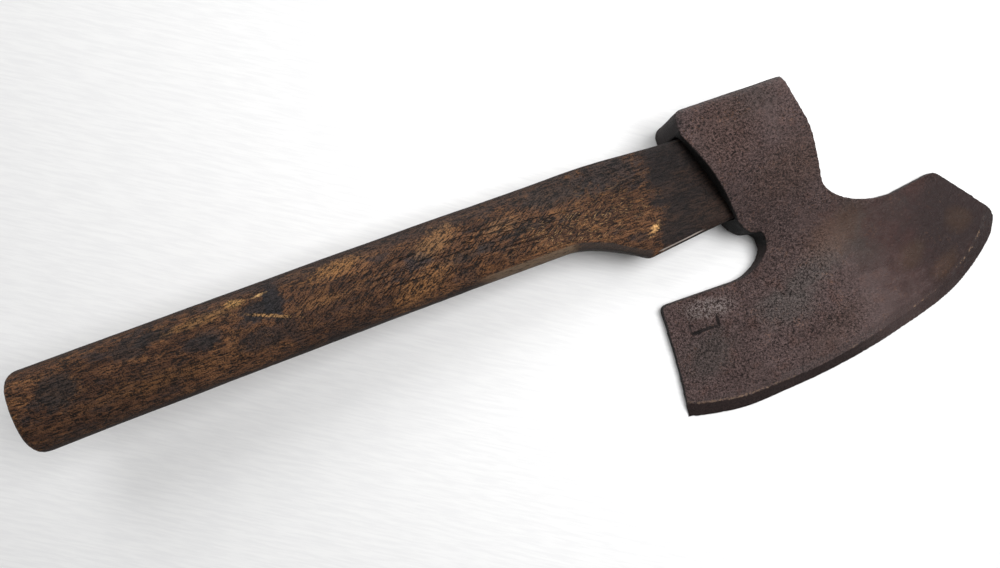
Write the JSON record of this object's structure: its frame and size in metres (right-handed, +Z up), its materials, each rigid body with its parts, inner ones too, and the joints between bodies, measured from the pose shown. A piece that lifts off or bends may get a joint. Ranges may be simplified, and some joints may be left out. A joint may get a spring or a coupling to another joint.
{
  "type": "goose wing axe",
  "caption": "Old hewing axe lying on its flat back: a forged head with a wide wing-shaped blade on a short straight wooden haft.",
  "frame": {"origin": "centre of the footprint, on the surface that the axe lies on", "axes": "+X along the haft towards the head, +Y from the cutting edge towards the poll, +Z up, away from the blade's flat back"},
  "size_m": [0.5208, 0.1656, 0.0714],
  "materials": {
    "rusted_iron": "forged iron under an even dark brown rust, finely pitted, with worn lighter edges",
    "dark_wood": "old hand-worn wood, dark brown with golden worn streaks and black grime at its edges"
  },
  "bodies": {
    "root": {"axe_head": "rusted_iron", "haft": "dark_wood"}
  },
  "joints": []
}
